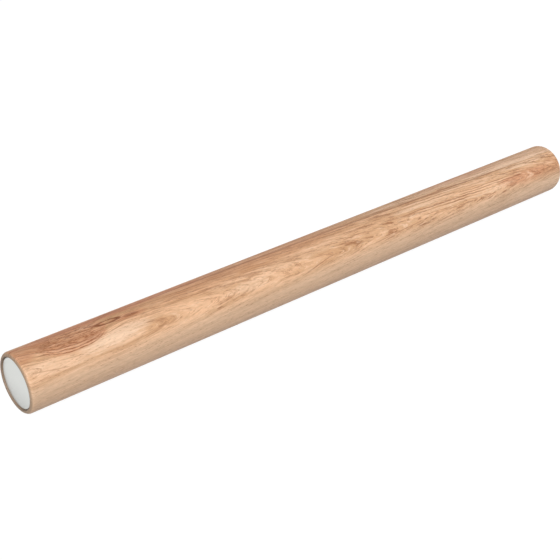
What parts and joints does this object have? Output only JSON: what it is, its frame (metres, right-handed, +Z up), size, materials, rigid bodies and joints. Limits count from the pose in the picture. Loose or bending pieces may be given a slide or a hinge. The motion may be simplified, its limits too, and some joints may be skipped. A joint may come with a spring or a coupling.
{
  "type": "french rolling pin",
  "caption": "Straight French rolling pin: a one-piece turned hardwood roller with eased ends and a satin steel disc let into one end.",
  "frame": {"origin": "middle of the roller, on its axis", "axes": "+X along the roller's axis, from the end with the steel disc to the plain end; +Z up, with the roller lying on its side"},
  "size_m": [0.505, 0.04, 0.04],
  "materials": {
    "hardwood": "fine-sanded and oiled, satin, with brown figure and open pores",
    "satin_steel": "fine satin brushed",
    "adhesive": "cured, slightly cloudy"
  },
  "bodies": {
    "root": {"roller": "hardwood", "end_disc": "satin_steel", "adhesive_bed": "adhesive"}
  },
  "joints": []
}
